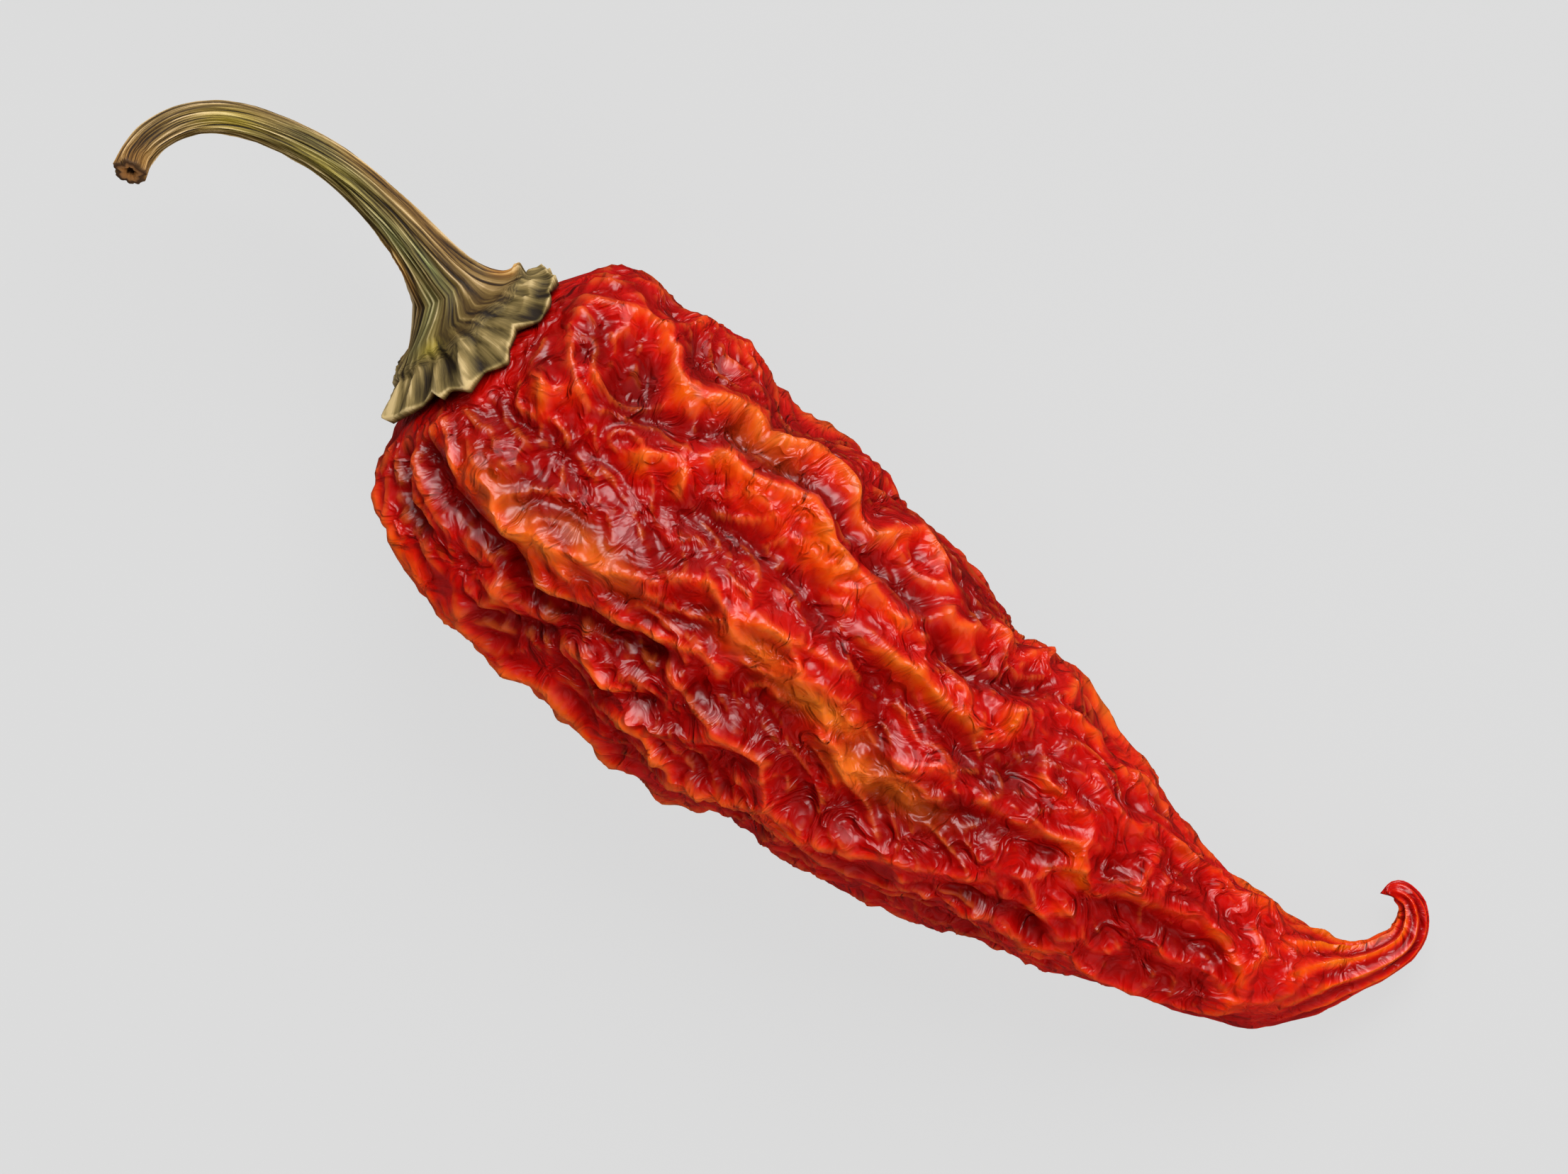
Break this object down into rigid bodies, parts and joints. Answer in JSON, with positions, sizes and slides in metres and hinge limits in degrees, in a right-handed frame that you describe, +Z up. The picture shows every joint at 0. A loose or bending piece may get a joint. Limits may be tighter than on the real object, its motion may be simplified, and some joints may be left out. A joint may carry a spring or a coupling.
{
  "type": "dried chilli pepper",
  "caption": "Dried chilli pepper lying on its side: a wrinkled tapering pod with a curled tip, a ragged calyx and a curved stalk.",
  "frame": {"origin": "on the supporting surface, under the pod's belly, where it rests on a small flat spot", "axes": "+X runs from the stalk to the curled tip, +Z is up, and +Y is the side that the tip curls to"},
  "size_m": [0.1075, 0.0297, 0.0253],
  "materials": {
    "pod_skin": "glossy dried red skin, orange on its sharp folds and dark maroon in its clefts",
    "stalk_fibre": "dull dry olive-brown fibre with pale ribs, green near the calyx"
  },
  "bodies": {
    "root": {"pod": "pod_skin", "stalk_calyx": "stalk_fibre"}
  },
  "joints": []
}
